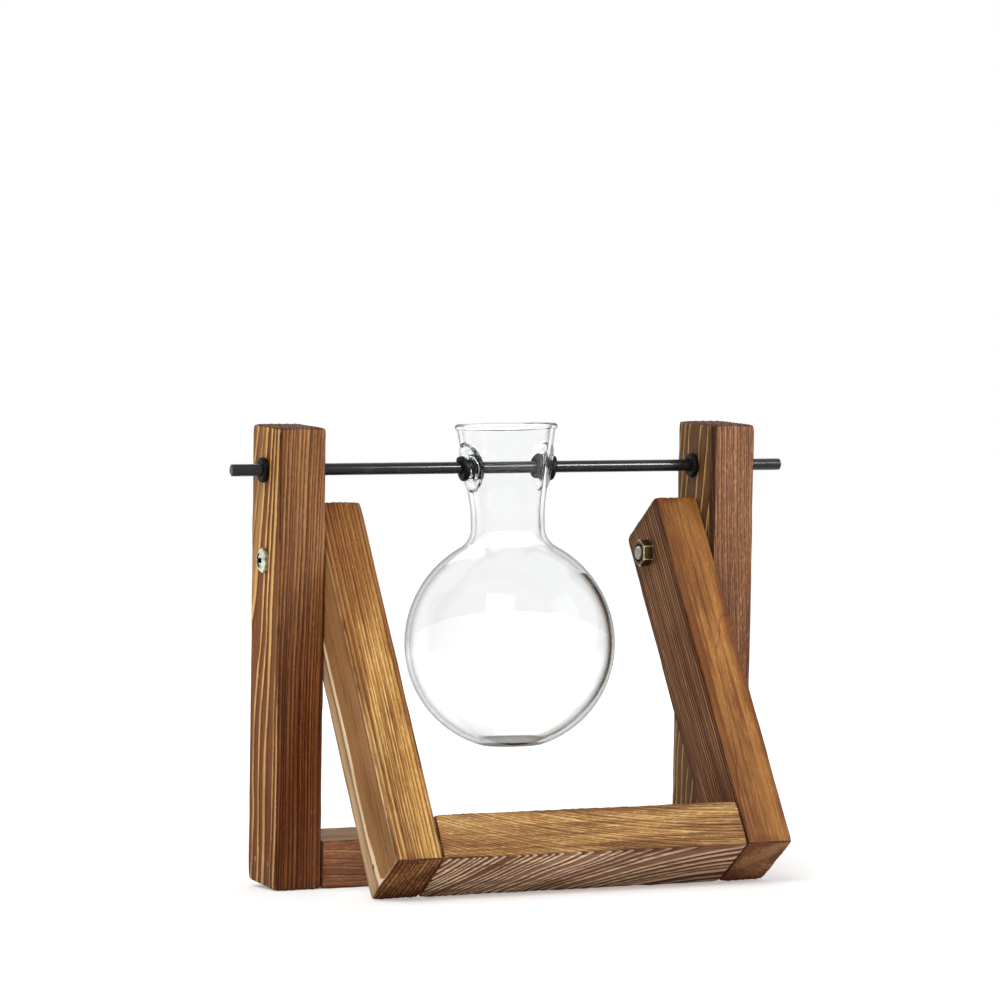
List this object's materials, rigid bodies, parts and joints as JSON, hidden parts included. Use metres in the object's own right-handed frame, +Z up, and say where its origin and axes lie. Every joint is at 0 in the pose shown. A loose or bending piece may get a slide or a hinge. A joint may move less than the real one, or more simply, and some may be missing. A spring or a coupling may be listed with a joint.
{
  "type": "propagation vase",
  "caption": "Round-bottomed glass vase for rooting cuttings, swinging on a black steel rod between the posts of a hinged stained-wood stand.",
  "frame": {"origin": "on the floor, under the middle of the object's box", "axes": "+X along the rod to the right, +Y from the front frame to the back, +Z up"},
  "size_m": [0.248, 0.1322, 0.191],
  "materials": {
    "post_wood": "red-brown stained softwood, brushed grain",
    "leg_wood": "golden-brown stained softwood, brushed grain",
    "black_steel": "satin black",
    "black_rubber": "matt black",
    "zinc_steel": "bright zinc plate with a faint yellow cast",
    "brad_steel": "dull steel, stained over",
    "clear_glass": "clear blown glass"
  },
  "bodies": {
    "rear_frame": {"left_post": "post_wood", "right_post": "post_wood", "rear_rail": "post_wood", "rear_rail_brads": "brad_steel", "left_pivot_bolt": "zinc_steel", "right_pivot_bolt": "zinc_steel", "left_pivot_nut": "zinc_steel", "right_pivot_nut": "zinc_steel"},
    "front_frame": {"left_leg": "leg_wood", "right_leg": "leg_wood", "front_rail": "leg_wood", "front_rail_brads": "brad_steel"},
    "rod": {"hanging_rod": "black_steel", "left_outer_ring": "black_rubber", "left_inner_ring": "black_rubber", "right_inner_ring": "black_rubber", "right_outer_ring": "black_rubber"},
    "vase": {"glass_vase": "clear_glass", "left_grommet": "black_rubber", "right_grommet": "black_rubber"}
  },
  "joints": [
    {"name": "frame_fold", "type": "hinge", "parent": "rear_frame", "child": "front_frame", "pos_m": [-0.0025, 0.02507, 0.13486], "axis": [-1, 0, 0], "range_deg": [-18.5, 60]},
    {"name": "rod_turn", "type": "hinge", "parent": "rear_frame", "child": "rod", "pos_m": [-0.0025, 0.02207, 0.17174], "axis": [1, 0, 0], "continuous": true},
    {"name": "vase_swing", "type": "hinge", "parent": "rod", "child": "vase", "pos_m": [-0.0025, 0.02207, 0.17174], "axis": [1, 0, 0], "continuous": true}
  ]
}
